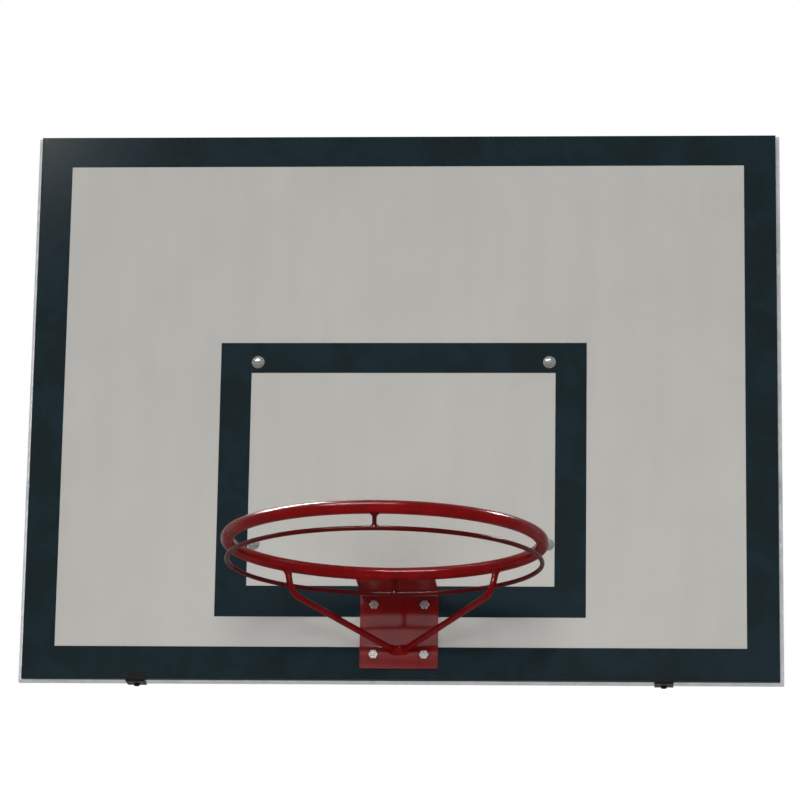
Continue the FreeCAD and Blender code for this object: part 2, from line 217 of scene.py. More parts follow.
class StageSettings(PropertyGroup):
    """Floor, lamps and camera."""

    board_height: length_setting(
        "Height over the floor", "Height of the board's lower edge over the floor", 2.9
    )
    camera_place: FloatVectorProperty(
        name="Camera place",
        description="Where the camera stands",
        subtype="TRANSLATION",
        unit="LENGTH",
        default=(0.374, -6.043, -1.454),
    )
    camera_turn: FloatVectorProperty(
        name="Camera turn",
        description="Tilt up, roll and turn to the left of a camera that looks along +Y",
        subtype="EULER",
        unit="ROTATION",
        default=(radians(14.38), radians(-0.90), radians(3.38)),
    )
    lens: FloatProperty(
        name="Lens",
        description="Focal length in millimetres on a 36 mm frame",
        default=173.8,
    )
    sky: FloatProperty(
        name="Sky",
        description="Strength of the white surroundings as a light",
        default=0.36,
    )
    key: power_setting("Key lamp", "Power of the small lamp at the upper left, in watts", 8.0)
    fill: power_setting("Fill lamp", "Power of the wide lamp far in front, in watts", 362.0)
    bounce: power_setting(
        "Bounce lamp",
        "Power of the wide low lamp that stands for light off the floor, in watts",
        14.0,
    )
    ceiling: power_setting(
        "Ceiling lamps", "Power of each narrow lamp in the row over the front, in watts", 3.2
    )
    side: power_setting(
        "Side lamps", "Power of each narrow lamp past the sides of the board, in watts", 1.4
    )
    ceiling_beam: FloatProperty(
        name="Ceiling beam",
        description="Full angle of the beams of the ceiling lamps, which only add gloss",
        subtype="ANGLE",
        unit="ROTATION",
        default=radians(24.0),
    )
    side_beam: FloatProperty(
        name="Side beam",
        description="Full angle of the beams of the side lamps, which only add gloss to the ring",
        subtype="ANGLE",
        unit="ROTATION",
        default=radians(40.0),
    )
    overhead: power_setting(
        "Overhead lamp", "Power of the wide lamp over the board, in watts", 60.0
    )
    rear: power_setting("Rear lamp", "Power of the wide lamp behind the board, in watts", 60.0)


class BackboardSettings(PropertyGroup):
    """All that can be set on the backboard."""

    board: PointerProperty(type=BoardSettings)
    steel: PointerProperty(type=SteelSettings)
    rim: PointerProperty(type=RimSettings)
    fasteners: PointerProperty(type=FastenerSettings)
    stage: PointerProperty(type=StageSettings)


# Shader building


class Wire:
    """Output of a shader node that takes part in sums like a number."""

    def __init__(self, finish, socket):
        self.finish = finish
        self.socket = socket

    def maths(self, operation, *values):
        return self.finish.node("Math", {"operation": operation}, dict(enumerate(values)))

    def __add__(self, other):
        return self.maths("ADD", self, other)

    def __radd__(self, other):
        return self.maths("ADD", other, self)

    def __sub__(self, other):
        return self.maths("SUBTRACT", self, other)

    def __rsub__(self, other):
        return self.maths("SUBTRACT", other, self)

    def __mul__(self, other):
        return self.maths("MULTIPLY", self, other)

    def __rmul__(self, other):
        return self.maths("MULTIPLY", other, self)

    def __abs__(self):
        return self.maths("ABSOLUTE", self)

    def larger(self, other):
        return self.maths("MAXIMUM", self, other)

    def sine(self):
        return self.maths("SINE", self)


class NodeMaker:
    """Node tree to which nodes are added by type, settings and inputs."""

    def __init__(self, tree):
        self.tree = tree

    def node(self, kind, settings=None, inputs=None, output=0):
        made = self.tree.nodes.new("ShaderNode" + kind)
        for name, value in (settings or {}).items():
            setattr(made, name, value)
        for key, value in (inputs or {}).items():
            self.feed(made.inputs[key], value)
        return Wire(self, made.outputs[output])

    def feed(self, socket, value):
        if isinstance(value, Wire):
            self.tree.links.new(value.socket, socket)
        else:
            socket.default_value = value

    def blend(self, share, first, second):
        """Colour between two colours."""
        inputs = {0: share, 6: opaque(first), 7: opaque(second)}
        return self.node("Mix", {"data_type": "RGBA"}, inputs, 2)

    def step(self, value, low, high):
        """Smooth rise from 0 at a low value to 1 at a high one."""
        inputs = {"Value": value, "From Min": low, "From Max": high}
        return self.node("MapRange", {"interpolation_type": "SMOOTHSTEP"}, inputs)


def opaque(colour):
    """Colour with its alpha, or a wire as it is."""
    return colour if isinstance(colour, Wire) else (*colour, 1.0)


def shade(colour, factor):
    """Colour made darker or lighter by a factor."""
    return tuple(channel * factor for channel in colour)


class Finish(NodeMaker):
    """Material under construction, with the place on the part as its coordinates."""

    def __init__(self, name, **constants):
        self.material = bpy.data.materials.new(name)
        self.material.use_nodes = True
        super().__init__(self.material.node_tree)
        self.surface = self.tree.nodes["Principled BSDF"]
        for socket, value in constants.items():
            self.surface.inputs[socket.replace("_", " ")].default_value = value
        self.place = self.node("TexCoord", output="Object")
        separate = self.node("SeparateXYZ", None, {0: self.place}).socket.node
        self.x, self.y, self.z = (Wire(self, socket) for socket in separate.outputs)

    def stretched(self, along):
        """Place multiplied by a factor along each axis."""
        return self.node("VectorMath", {"operation": "MULTIPLY"}, {0: self.place, 1: along})

    def noise(self, scale, detail=3.0, along=None, distortion=0.0):
        inputs = {
            "Vector": self.stretched(along) if along else self.place,
            "Scale": scale,
            "Detail": detail,
            "Distortion": distortion,
        }
        return self.node("TexNoise", None, inputs, "Fac")

    def edge_wear(self, radius):
        """Share that rises from 0 on flat stretches along sharp outer edges."""
        rounded = self.node("Bevel", {"samples": 6}, {"Radius": radius})
        plain = self.node("NewGeometry", output="Normal")
        same = self.node(
            "VectorMath", {"operation": "DOT_PRODUCT"}, {0: rounded, 1: plain}, "Value"
        )
        return self.step(1 - same, 0.02, 0.25)

    def facing(self, way):
        """Share from 0 on upright faces to 1 on level ones that look up (1) or down (-1)."""
        normal = self.node("NewGeometry", output="Normal")
        height = self.node("SeparateXYZ", None, {0: normal}, "Z")
        return self.step(way * height, 0.55, 0.98)

    def coat(self, colour=None, roughness=None, metallic=None, height=None, depth=0.0):
        """Feeds what varies over the surface to the shader. Heights are shares of a depth."""
        given = {"Base Color": colour, "Roughness": roughness, "Metallic": metallic}
        for socket, value in given.items():
            if value is not None:
                self.feed(self.surface.inputs[socket], value)
        if height is not None:
            bump = self.node("Bump", None, {"Height": height, "Distance": depth})
            self.feed(self.surface.inputs["Normal"], bump)
        return self.material


def board_paint(board):
    """Rolled pale paint on the face, line paint round the edges, sealed veneer at the back."""
    finish = Finish("board_paint", Specular_IOR_Level=0.12)
    clouds = finish.noise(2.6, 3.0)
    patches = finish.noise(11.0, 4.0, distortion=0.8)
    roller = finish.noise(1.0, 3.0, along=(26.0, 1.0, 3.2))
    stipple = finish.noise(520.0, 2.0)
    scuffs = finish.step(finish.noise(5.5, 6.0, distortion=1.6), 0.62, 0.74)
    tone = 0.45 * clouds + 0.25 * patches + 0.30 * roller
    darker = shade(board.paint, 0.955)
    paler = shade(board.paint, 1.045)
    face = finish.blend(finish.step(tone, 0.3, 0.7), darker, paler)
    face = finish.blend(0.06 * scuffs, face, shade(board.paint, 0.55))

    fibre = finish.noise(1.0, 4.0, along=(5.0, 1.0, 260.0))
    figure = finish.noise(1.0, 2.0, along=(0.8, 1.0, 6.0), distortion=0.4)
    rings = 0.5 + 0.5 * (130.0 * figure).sine()
    grain = 0.55 * finish.step(rings, 0.35, 1.0) + 0.45 * fibre
    veneer = finish.blend(grain, board.veneer_pale, board.veneer_dark)

    slack = 0.2 * MM
    inset = board.edge_round + slack
    over_side = finish.step(
        abs(finish.x - PANEL_MIDDLE.x), PANEL_HALF.x - inset, PANEL_HALF.x - inset + slack
    )
    over_end = finish.step(
        abs(finish.z - PANEL_MIDDLE.z), PANEL_HALF.z - inset, PANEL_HALF.z - inset + slack
    )
    edge = over_side.larger(over_end)
    back = finish.step(finish.y, PANEL_HIGH.y - slack, PANEL_HIGH.y - slack / 2)
    plies = 0.5 + 0.5 * (finish.y * (tau / PLY_PAIR)).sine()
    colour = finish.blend(edge, face, board.line_green)
    colour = finish.blend(back, colour, veneer)
    roughness = finish.node(
        "Mix", None, {0: back, 2: 0.62 + 0.14 * patches - 0.08 * scuffs, 3: 0.42 + 0.2 * fibre}
    )
    relief = stipple * (1 - back) + 0.8 * fibre * back + 1.2 * plies * edge
    return finish.coat(colour, roughness, height=relief, depth=0.12 * MM)


def line_paint(board):
    """Dark line paint, patchy between blue and green, with brush drag and a satin sheen."""
    finish = Finish("line_paint", Specular_IOR_Level=0.08)
    patches = finish.noise(13.0, 5.0, distortion=0.6)
    fine = finish.noise(70.0, 4.0)
    drag = finish.noise(1.0, 3.0, along=(130.0, 1.0, 130.0))
    share = finish.step(0.75 * patches + 0.25 * fine, 0.36, 0.62)
    colour = finish.blend(share, board.line_green, board.line_blue)
    pale = finish.step(finish.noise(4.0, 4.0), 0.56, 0.76)
    colour = finish.blend(0.35 * pale, colour, shade(board.line_blue, 1.7))
    stipple = finish.noise(480.0, 2.0)
    roughness = 0.10 + 0.06 * fine + 0.05 * patches
    return finish.coat(colour, roughness, height=0.7 * stipple + 0.3 * drag, depth=0.02 * MM)


def galvanised_steel(steel):
    """Hot-dip zinc on tube: crystals of differing grey, dull streaks and brighter worn edges."""
    finish = Finish("galvanised_steel", Specular_IOR_Level=0.4)
    crystal = finish.node("TexVoronoi", None, {"Vector": finish.place, "Scale": 95.0}, "Color")
    crystal = finish.node("SeparateColor", None, {0: crystal})
    streaks = finish.noise(1.0, 4.0, along=(9.0, 30.0, 9.0), distortion=0.5)
    grime = finish.step(finish.noise(16.0, 5.0), 0.5, 0.75)
    share = 0.55 * crystal + 0.45 * streaks
    colour = finish.blend(share, steel.zinc_dark, steel.zinc_pale)
    colour = finish.blend(0.30 * grime, colour, shade(steel.zinc_dark, 0.45))
    worn = finish.edge_wear(1.2 * MM)
    colour = finish.blend(0.5 * worn, colour, shade(steel.zinc_pale, 1.3))
    roughness = 0.36 + 0.18 * streaks + 0.12 * grime
    metallic = 0.8 - 0.35 * grime
    fine = finish.noise(600.0, 2.0)
    return finish.coat(colour, roughness, metallic, 0.6 * crystal + 0.4 * fine, 0.03 * MM)


def red_enamel(name, rim, gloss, coat_weight, tone=1.0):
    """Glossy dipped enamel with orange peel, thicker runs, fine dust on top and rubbed edges."""
    finish = Finish(name, Coat_Roughness=0.08, Specular_IOR_Level=gloss)
    runs = finish.noise(1.0, 3.0, along=(38.0, 38.0, 12.0), distortion=0.4)
    patches = finish.noise(30.0, 4.0)
    share = finish.step(0.6 * runs + 0.4 * patches, 0.38, 0.66)
    # A tone below 1 paints shade: it makes a darker copy of the same enamel, which stands in for the
    # shade a part lies in.
    colour = finish.blend(share, shade(rim.enamel, tone), shade(rim.enamel_deep, tone))
    dust = finish.facing(1) * finish.step(finish.noise(90.0, 5.0), 0.35, 0.7)
    colour = finish.blend(0.06 * dust, colour, DUST)
    worn = finish.edge_wear(1.0 * MM) * finish.step(finish.noise(140.0, 4.0), 0.5, 0.7)
    colour = finish.blend(0.35 * worn, colour, shade(rim.enamel, 1.8 * tone))
    dull = finish.facing(-1)
    finish.feed(finish.surface.inputs["Coat Weight"], coat_weight * (1 - dull))
    peel = finish.noise(330.0, 1.0)
    swell = finish.noise(70.0, 2.0)
    roughness = 0.17 + 0.10 * patches + 0.3 * dust + 0.2 * dull
    return finish.coat(colour, roughness, height=0.35 * peel + 0.65 * swell, depth=0.10 * MM)


def zinc_plating(name, fasteners, tone=1.0):
    """Bright zinc with a faint passivation tint, duller in patches."""
    finish = Finish(name, Metallic=0.95)
    patches = finish.noise(240.0, 4.0)
    tint = finish.noise(120.0, 2.0)
    # A tone below 1 gives a darker copy of the plating, which is painted shade.
    plating = shade(fasteners.plating, tone)
    colour = finish.blend(patches, shade(plating, 0.7), shade(plating, 1.25))
    warm = finish.blend(0.6 * finish.step(tint, 0.5, 0.8), colour, shade(PASSIVATED, tone))
    fine = finish.noise(1500.0, 2.0)
    return finish.coat(warm, 0.16 + 0.22 * patches, height=fine, depth=0.01 * MM)


def black_paint(steel):
    """Thin black paint on steel, rubbed to grey along the edges."""
    finish = Finish("black_paint", Specular_IOR_Level=0.06)
    patches = finish.noise(160.0, 4.0)
    worn = finish.edge_wear(0.6 * MM) * finish.step(patches, 0.45, 0.6)
    colour = finish.blend(patches, shade(steel.clip_black, 0.7), shade(steel.clip_black, 1.5))
    colour = finish.blend(0.3 * worn, colour, RUBBED_STEEL)
    return finish.coat(colour, 0.42 + 0.2 * patches, height=patches, depth=0.04 * MM)


def pale_floor():
    """Pale floor that keeps the object's shadow, fades to white far away and is clear from below."""
    finish = Finish("pale_floor", Base_Color=(0.82, 0.82, 0.82, 1.0), Roughness=0.9)
    distance = finish.node("VectorMath", {"operation": "LENGTH"}, {0: finish.place}, "Value")
    white = 0.6 + 0.4 * finish.step(distance, FLOOR_WHITE_FROM, FLOOR_WHITE_TO)
    glow = finish.node("Emission", None, {"Strength": 1.0})
    surface = Wire(finish, finish.surface.outputs[0])
    share = white * background_rays(finish)
    seen_above = finish.node("MixShader", None, {0: share, 1: surface, 2: glow})
    below = finish.node("NewGeometry", output="Backfacing")
    clear = finish.node("BsdfTransparent")
    both = finish.node("MixShader", None, {0: below, 1: seen_above, 2: clear})
    finish.feed(finish.tree.nodes["Material Output"].inputs["Surface"], both)
    return finish.material


def background_rays(maker):
    """1 for rays that show the background: straight to the camera, mirrored or seen through."""
    path = maker.node("LightPath").socket.node
    kinds = ("Camera", "Glossy", "Transmission")
    camera, glossy, through = (Wire(maker, path.outputs[f"Is {kind} Ray"]) for kind in kinds)
    return camera.larger(glossy).larger(through)


# Mesh building


def circle_points(count):
    """Angles of evenly spaced points round a circle."""
    return [tau * i / count for i in range(count)]


def skin(rings, closed=False):
    """Mesh through closed rings of points, with its ends capped or joined up."""
    shape = bmesh.new()
    loops = [[shape.verts.new(point) for point in ring] for ring in rings]
    pairs = list(zip(loops, loops[1:]))
    if closed:
        pairs.append((loops[-1], loops[0]))
    else:
        shape.faces.new(loops[0])
        shape.faces.new(loops[-1])
    for first, second in pairs:
        for i in range(len(first)):
            shape.faces.new((first[i - 1], first[i], second[i], second[i - 1]))
    bmesh.ops.recalc_face_normals(shape, faces=shape.faces)
    return shape


def merged(shapes):
    """One mesh from several, which are used up."""
    whole = bmesh.new()
    for shape in shapes:
        part = bpy.data.meshes.new("part")
        shape.to_mesh(part)
        shape.free()
        whole.from_mesh(part)
        bpy.data.meshes.remove(part)
    return whole


def add_piece(name, shape, slot, material, *replaced, sharp=40.0):
    """Piece of the object from a mesh, smooth but for edges sharper than an angle in degrees."""
    mesh = bpy.data.meshes.new(name)
    shape.to_mesh(mesh)
    shape.free()
    mesh.shade_smooth()
    mesh.set_sharp_from_angle(angle=radians(sharp))
    mesh.materials.append(material)
    piece = bpy.data.objects.new(name, mesh)
    bpy.context.scene.collection.objects.link(piece)
    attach(piece, BODY)
    if replaced:
        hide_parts(*replaced)
    return piece


def dress(nodes, material):
    """Gives nodes of the model a finish."""
    for node in nodes:
        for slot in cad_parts[node].material_slots:
            slot.material = material


def node_points(node):
    """Corner points of a node of the model."""
    return [vertex.co.copy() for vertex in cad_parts[node].data.vertices]


def middle_of(points):
    """Mean of several points."""
    return sum(points, Vector()) / len(points)


def solid_boxes(node, reach=30 * MM):
    """Corners of each solid of a node whose solids stand further apart than a reach."""
    groups = []
    for point in node_points(node):
        near = [group for group in groups if (group[0].xz - point.xz).length < reach]
        if near:
            near[0].append(point)
        else:
            groups.append([point])
    return [(Vector(map(min, *group)), Vector(map(max, *group))) for group in groups]


def axis_places(node, y):
    """Axis points, at one depth, of the solids of a node that lie along Y."""
    middles = [(low + high) / 2 for low, high in solid_boxes(node)]
    return [Vector((middle.x, y, middle.z)) for middle in middles]


# Fasteners, turned about the Y axis with the head towards -Y

TURN_STEPS = 48


def section(distance, radius, flats=0.0, sides=6, corner=0.0):
    """Ring of points at a distance along Y: a circle, cut by a polygon's flats where it has any."""
    points = []
    for angle in circle_points(TURN_STEPS):
        reach = radius
        if flats:
            off_flat = (angle - corner) % (tau / sides) - pi / sides
            reach = min(radius, flats / 2 / cos(off_flat))
        points.append(Vector((reach * cos(angle), distance, reach * sin(angle))))
    return points


def hexagon_sections(flats, start, end):
    """Sections of a hexagon whose corners are turned off at its ends."""
    inner = flats / 2
    corner = flats / sqrt(3) - inner
    depth = corner * 0.58
    shares = [i / 4 for i in range(5)]
    rows = [section(start + depth * share, inner + corner * share, flats) for share in shares]
    for share in reversed(shares):
        rows.append(section(end - depth * share, inner + corner * share, flats))
    return rows


def thread_sections(fasteners, start, end):
    """Sections of a screw thread with a chamfered end."""
    rows_per_turn = 10
    pitch = fasteners.thread_pitch
    outer = fasteners.thread_diameter / 2
    depth = 0.55 * pitch
    count = round((end - start) / pitch * rows_per_turn)
    rows = []
    for row in range(count + 1):
        distance = start + (end - start) * row / count
        limit = min(outer, outer - depth + (end - distance))
        points = []
        for angle in circle_points(TURN_STEPS):
            phase = (distance / pitch - angle / tau) % 1.0
            ridge = min(1.0, max(0.0, 2.6 * abs(phase - 0.5) - 0.15))
            radius = min(limit, outer - depth * ridge)
            points.append(Vector((radius * cos(angle), distance, radius * sin(angle))))
        rows.append(points)
    return rows


def placed_copies(rows, places, closed=False):
    """Meshes of one set of sections at several places."""
    return merged(
        [skin([[point + place for point in row] for row in rows], closed) for place in places]
    )


def dome_sections(radius, height):
    """Sections of a low domed head that ends in a short upright rim on the board."""
    rim = 0.8 * MM
    ball = (radius**2 + (height - rim) ** 2) / (2 * (height - rim))
    widest = asin(radius / ball)
    rows = []
    for i in range(1, 13):
        angle = widest * i / 12
        rows.append(section(-height + ball * (1 - cos(angle)), ball * sin(angle)))
    rows.append(section(-rim / 2, radius + 0.02 * MM))
    rows.append(section(0.0, radius))
    return rows


def nut_sections(fasteners, height):
    """Sections round a nut, out along its flats and back through its bore."""
    bore = fasteners.shank_diameter / 2 + 0.1 * MM
    mouth = fasteners.thread_diameter / 2 + 0.35 * MM
    lead = 0.7 * MM
    rows = hexagon_sections(fasteners.across_flats, 0.0, height)
    rows += [section(height, mouth), section(height - lead, bore)]
    rows += [section(lead, bore), section(0.0, mouth)]
    return rows


def washer_sections(outer, bore, thickness):
    """Sections round a punched washer: one edge rounded by the punch, the other sharp."""
    rollover = thickness / 3
    return [
        section(0.0, outer),
        section(thickness - rollover, outer),
        section(thickness - rollover / 3, outer - rollover / 3),
        section(thickness, outer - rollover),
        section(thickness, bore + rollover / 2),
        section(thickness - rollover / 2, bore),
        section(0.0, bore),
    ]


def pan_head_screw(radius, height, length, fasteners):
    """Pan-head screw with a cross recess, its head towards +Y and its shank into -Y."""
    rows = []
    crown = 0.62
    for i in range(1, 9):
        turn = pi / 2 * i / 8
        rise = height * (crown + (1 - crown) * cos(turn))
        reach = radius * (0.55 + 0.45 * sin(turn)) * min(1.0, i / 2)
        rows.append(section(rise, reach))
    rows.append(section(0.25 * height, radius))
    rows.append(section(0.0, 0.97 * radius))
    rows.append(section(0.0, 0.48 * radius))
    rows.append(section(0.9 * length - length, 0.48 * radius))
    rows.append(section(0.6 * radius - length, 0.48 * radius))
    rows.append(section(-length, 0.06 * radius))
    return cut_cross(skin(rows), height, fasteners.recess_width)


def cut_cross(shape, top, width):
    """Shape with a tapered cross sunk into its top."""
    depth = 0.62 * top
    slot = 0.28 * width
    corners = ((-1, -1), (1, -1), (1, 1), (-1, 1))
    cutters = []
    for across, along in ((width, slot), (slot, width)):
        rings = []
        for height, taper in ((top + depth, 1.35), (top - depth, 0.45)):
            half_x = across / 2 * (taper if across > along else 1.0)
            half_z = along / 2 * (taper if along > across else 1.0)
            rings.append([Vector((sx * half_x, height, sz * half_z)) for sx, sz in corners])
        cutters.append(skin(rings))
    blank = loose_object("blank", shape)
    for i, cutter in enumerate(cutters):
        tool = loose_object(f"cutter_{i}", cutter)
        cut = blank.modifiers.new(tool.name, "BOOLEAN")
        cut.operation = "DIFFERENCE"
        cut.solver = "EXACT"
        cut.object = tool
    depsgraph = bpy.context.evaluated_depsgraph_get()
    result = bmesh.new()
    result.from_object(blank, depsgraph)
    for loose in [blank] + [cut.object for cut in blank.modifiers]:
        bpy.data.objects.remove(loose)
    return result


def loose_object(name, shape):
    """Helper object from a mesh, outside the finished part."""
    mesh = bpy.data.meshes.new(name)
    shape.to_mesh(mesh)
    shape.free()
    helper = bpy.data.objects.new(name, mesh)
    bpy.context.scene.collection.objects.link(helper)
    return helper


def repeated(shape, transforms):
    """Copies of a mesh under several transforms, as one mesh."""
    copies = []
    for transform in transforms:
        copy = shape.copy()
        copy.transform(transform)
        copies.append(copy)
    shape.free()
    return merged(copies)


# Welds


def bead(points, radius, closed=False):
    """Rippled weld bead along a line of points."""
    ripple_length = 1.1 * radius
    stride = ripple_length / 5
    line = evenly_spaced(points, stride, closed)
    rings = []
    travelled = 0.0
    for i, point in enumerate(line):
        after = line[(i + 1) % len(line)] if closed else line[min(i + 1, len(line) - 1)]
        before = line[i - 1] if closed else line[max(i - 1, 0)]
        heading = (after - before).normalized()
        side = heading.orthogonal() if i == 0 else side - heading * side.dot(heading)
        side.normalize()
        over = heading.cross(side)
        wave = travelled / ripple_length * tau
        swell = 1.0 + 0.07 * sin(wave) + 0.05 * sin(0.37 * wave + 1.0) + 0.03 * sin(0.13 * wave)
        if not closed:
            ends = min(i, len(line) - 1 - i) * stride / radius
            swell *= sqrt(max(0.05, 1 - (1 - min(1.0, ends)) ** 2))
        rings.append(
            [point + (side * cos(a) + over * sin(a)) * radius * swell for a in circle_points(14)]
        )
        travelled += stride
    return skin(rings, closed)


def evenly_spaced(points, spacing, closed):
    """Points at a regular spacing along a line through points."""
    corners = points + points[:1] if closed else points
    lengths = [(b - a).length for a, b in zip(corners, corners[1:])]
    count = max(6, round(sum(lengths) / spacing))
    targets = [sum(lengths) * i / count for i in range(count if closed else count + 1)]
    result = []
    for target in targets:
        i = 0
        while i < len(lengths) - 1 and target > lengths[i]:
            target -= lengths[i]
            i += 1
        share = min(1.0, target / lengths[i]) if lengths[i] else 0.0
        result.append(corners[i].lerp(corners[i + 1], share))
    return result


def outline_of(points, normal, bins=28):
    """Outermost points round their middle, in order, as seen along a normal."""
    middle = middle_of(points)
    across = normal.orthogonal().normalized()
    over = normal.cross(across)
    outermost = {}
    for point in points:
        offset = point - middle
        u, v = offset.dot(across), offset.dot(over)
        key = int((atan2(v, u) + pi) / tau * bins) % bins
        reach = sqrt(u * u + v * v)
        if key not in outermost or reach > outermost[key][0]:
            outermost[key] = (reach, point)
    return [outermost[key][1] for key in sorted(outermost)]


def ring_distance(point):
    """Distance of a point from the middle line of the ring's bar."""
    flat = (point - RING_CENTRE).xy.length - RING_RADIUS
    return sqrt(flat**2 + (point.z - RING_CENTRE.z) ** 2)


def ring_point(angle, radius, z):
    """Point of a level circle about the ring's axis, at an angle from the back."""
    return Vector((RING_CENTRE.x + radius * sin(angle), RING_CENTRE.y + radius * cos(angle), z))


def onto_bar(point, centre, radius, side):
    """Point moved straight up or down onto the underside (-1) or top (1) of a ring's bar."""
    across = min(radius, abs((point - centre).xy.length - RING_RADIUS))
    return Vector((point.x, point.y, centre.z + side * sqrt(radius**2 - across**2)))


def flare(start, end, rod_radius, reach, squeeze, bar):
    """Weld that spreads along a ring's bar from a rod, between two points of the rod's axis."""
    centre, bar_radius, side = bar
    outward = (end - centre).xy.normalized().to_3d()
    along = UP.cross(outward)
    inside = rod_radius - 0.2 * MM
    steps = 9
    rows = [[] for _ in range(steps + 2)]
    for angle in circle_points(32):
        way = along * cos(angle) + outward * sin(angle)
        spread = reach * sqrt(cos(angle) ** 2 + (squeeze * sin(angle)) ** 2)
        spread *= 1 + 0.06 * sin(5 * angle + 1)
        seat = onto_bar(end + way * (inside + spread), centre, bar_radius, side)
        for step in range(steps + 1):
            turn = pi / 2 * step / steps
            point = start.lerp(end, sin(turn)) + way * (inside + spread * (1 - cos(turn)))
            point.z = start.z + (seat.z - start.z) * sin(turn)
            rows[step].append(point)
        core = Vector((end.x, end.y, centre.z))
        rows[-1].append(seat.lerp(core, 0.3))
    return skin(rows)


def brace_top_weld(node, reach):
    """Flare where a brace meets the ring."""
    places = node_points(node)
    touching = [p for p in places if ring_distance(p) < BAR_RADIUS + CONTACT]
    lower = [p for p in places if abs(p.z - NET_HIGH.z) < WAIST_REACH]
    end = middle_of(touching)
    waist = middle_of(lower)
    axis = (end - waist).normalized()
    offsets = [p - waist for p in lower]
    radius = max((offset - axis * offset.dot(axis)).length for offset in offsets)
    start = end - axis * (1.2 * reach)
    return flare(start, end, radius, reach, 0.25, (RING_CENTRE, BAR_RADIUS, -1))


def post_welds(rim):
    """Flares at the top and foot of the two posts between the rings."""
    radius = rim.post_diameter / 2
    reach = rim.flare_reach
    flares = []
    for angle in (0.0, pi):
        top = ring_point(angle, RING_RADIUS, RING_LOW.z)
        foot = ring_point(angle, RING_RADIUS, NET_HIGH.z)
        ring = (RING_CENTRE, BAR_RADIUS, -1)
        net = (NET_CENTRE, NET_ROD_RADIUS, 1)
        flares.append(flare(top - UP * 1.3 * reach, top, radius, reach, 0.5, ring))
        flares.append(flare(foot + UP * 0.9 * reach, foot, radius, 0.8 * reach, 0.05, net))
    return flares


def brace_foot_welds(radius):
    """Bead round the feet of both braces on the bracket's plate, and one that fills between them."""
    touching = []
    for node in BRACES:
        places = node_points(node)
        foot = max(p.y for p in places)
        touching += [p for p in places if p.y > foot - CONTACT]
    middle = middle_of(touching)
    left = min(touching, key=lambda p: p.x)
    right = max(touching, key=lambda p: p.x)
    between = [middle.lerp(left, 0.6), middle.lerp(right, 0.6)]
    return [bead(outline_of(touching, BACK), radius, closed=True), bead(between, 1.4 * radius)]


def net_ring_tacks(node, radius):
    """Tacks either side of the place where a brace passes the net ring."""
    places = node_points(node)
    top = [p for p in places if ring_distance(p) < BAR_RADIUS + CONTACT]
    middle = middle_of(top) - RING_CENTRE
    angle = atan2(middle.x, middle.y)
    inside = RING_RADIUS - NET_ROD_RADIUS - TACK_INSET
    spread = TACK_OFFSET / RING_RADIUS
    half = TACK_HALF_LENGTH
    beads = []
    for side in (-1, 1):
        ends = [
            ring_point(angle + side * spread, inside, NET_CENTRE.z - half),
            ring_point(angle + side * spread, inside, NET_CENTRE.z + half),
        ]
        beads.append(bead(ends, radius))
    return beads


def shelf_seams(radius):
    """Beads over and under the bracket's shelf, along its joint with the ring."""
    out = RING_RADIUS + sqrt(BAR_RADIUS**2 - SHELF_HALF_THICKNESS**2) + 0.3 * radius
    half_angle = asin((BRACKET_HIGH.x - 2 * MM) / out)
    beads = []
    for side in (-1, 1):
        z = RING_CENTRE.z + side * (SHELF_HALF_THICKNESS + 0.2 * radius)
        angles = [half_angle * (i / 12 - 1) for i in range(25)]
        beads.append(bead([ring_point(angle, out, z) for angle in angles], radius))
    return beads


# Operators


class BACKBOARD_OT_board(Operator):
    """Paints the board and its lines"""

    bl_idname = "backboard.board"
    bl_label = "Board and lines"

    def execute(self, context):
        board = context.scene.backboard.board
        dress(["board_panel"], board_paint(board))
        dress(["border_marking", "target_marking"], line_paint(board))
        return {"FINISHED"}


class BACKBOARD_OT_frame(Operator):
    """Galvanises the steel frame and welds its joints"""

    bl_idname = "backboard.frame"
    bl_label = "Steel frame"

    def execute(self, context):
        steel = context.scene.backboard.steel
        zinc = galvanised_steel(steel)
        dress(GALVANISED_NODES, zinc)
        add_piece("frame_welds", merged(self.welds(steel.weld_radius)), "frame_steel", zinc)
        return {"FINISHED"}

    def welds(self, radius):
        """Beads on the back of the mitres and T joints, and along the backing plate."""
        face = BOTTOM_HIGH.y - 0.4 * radius
        width = BOTTOM_HIGH.z - BOTTOM_LOW.z
        trim = 3.5 * MM
        beads = []
        for side in (-1, 1):
            for z, inward in ((BOTTOM_LOW.z, 1), (TOP_HIGH.z, -1)):
                x = side * BOTTOM_HIGH.x
                ends = [
                    Vector((x - side * reach, face, z + inward * reach))
                    for reach in (trim, width - trim)
                ]
                beads.append(bead(ends, radius))
            low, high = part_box("frame_left_upright" if side < 0 else "frame_right_upright")
            for z in (low.z, high.z):
                ends = [Vector((x, face, z)) for x in (low.x + trim, high.x - trim)]
                beads.append(bead(ends, radius))
            x = CROSS_LOW.x if side < 0 else CROSS_HIGH.x
            ends = [Vector((x, face, z)) for z in (CROSS_LOW.z + trim, CROSS_HIGH.z - trim)]
            beads.append(bead(ends, radius))
        stitch = 28 * MM
        for z in (PLATE_LOW.z, PLATE_HIGH.z):
            for middle in (0.75 * PLATE_LOW.x, 0.0, 0.75 * PLATE_HIGH.x):
                ends = [
                    Vector((middle + half, PLATE_HIGH.y, z)) for half in (-stitch / 2, stitch / 2)
                ]
                beads.append(bead(ends, radius))
        return beads


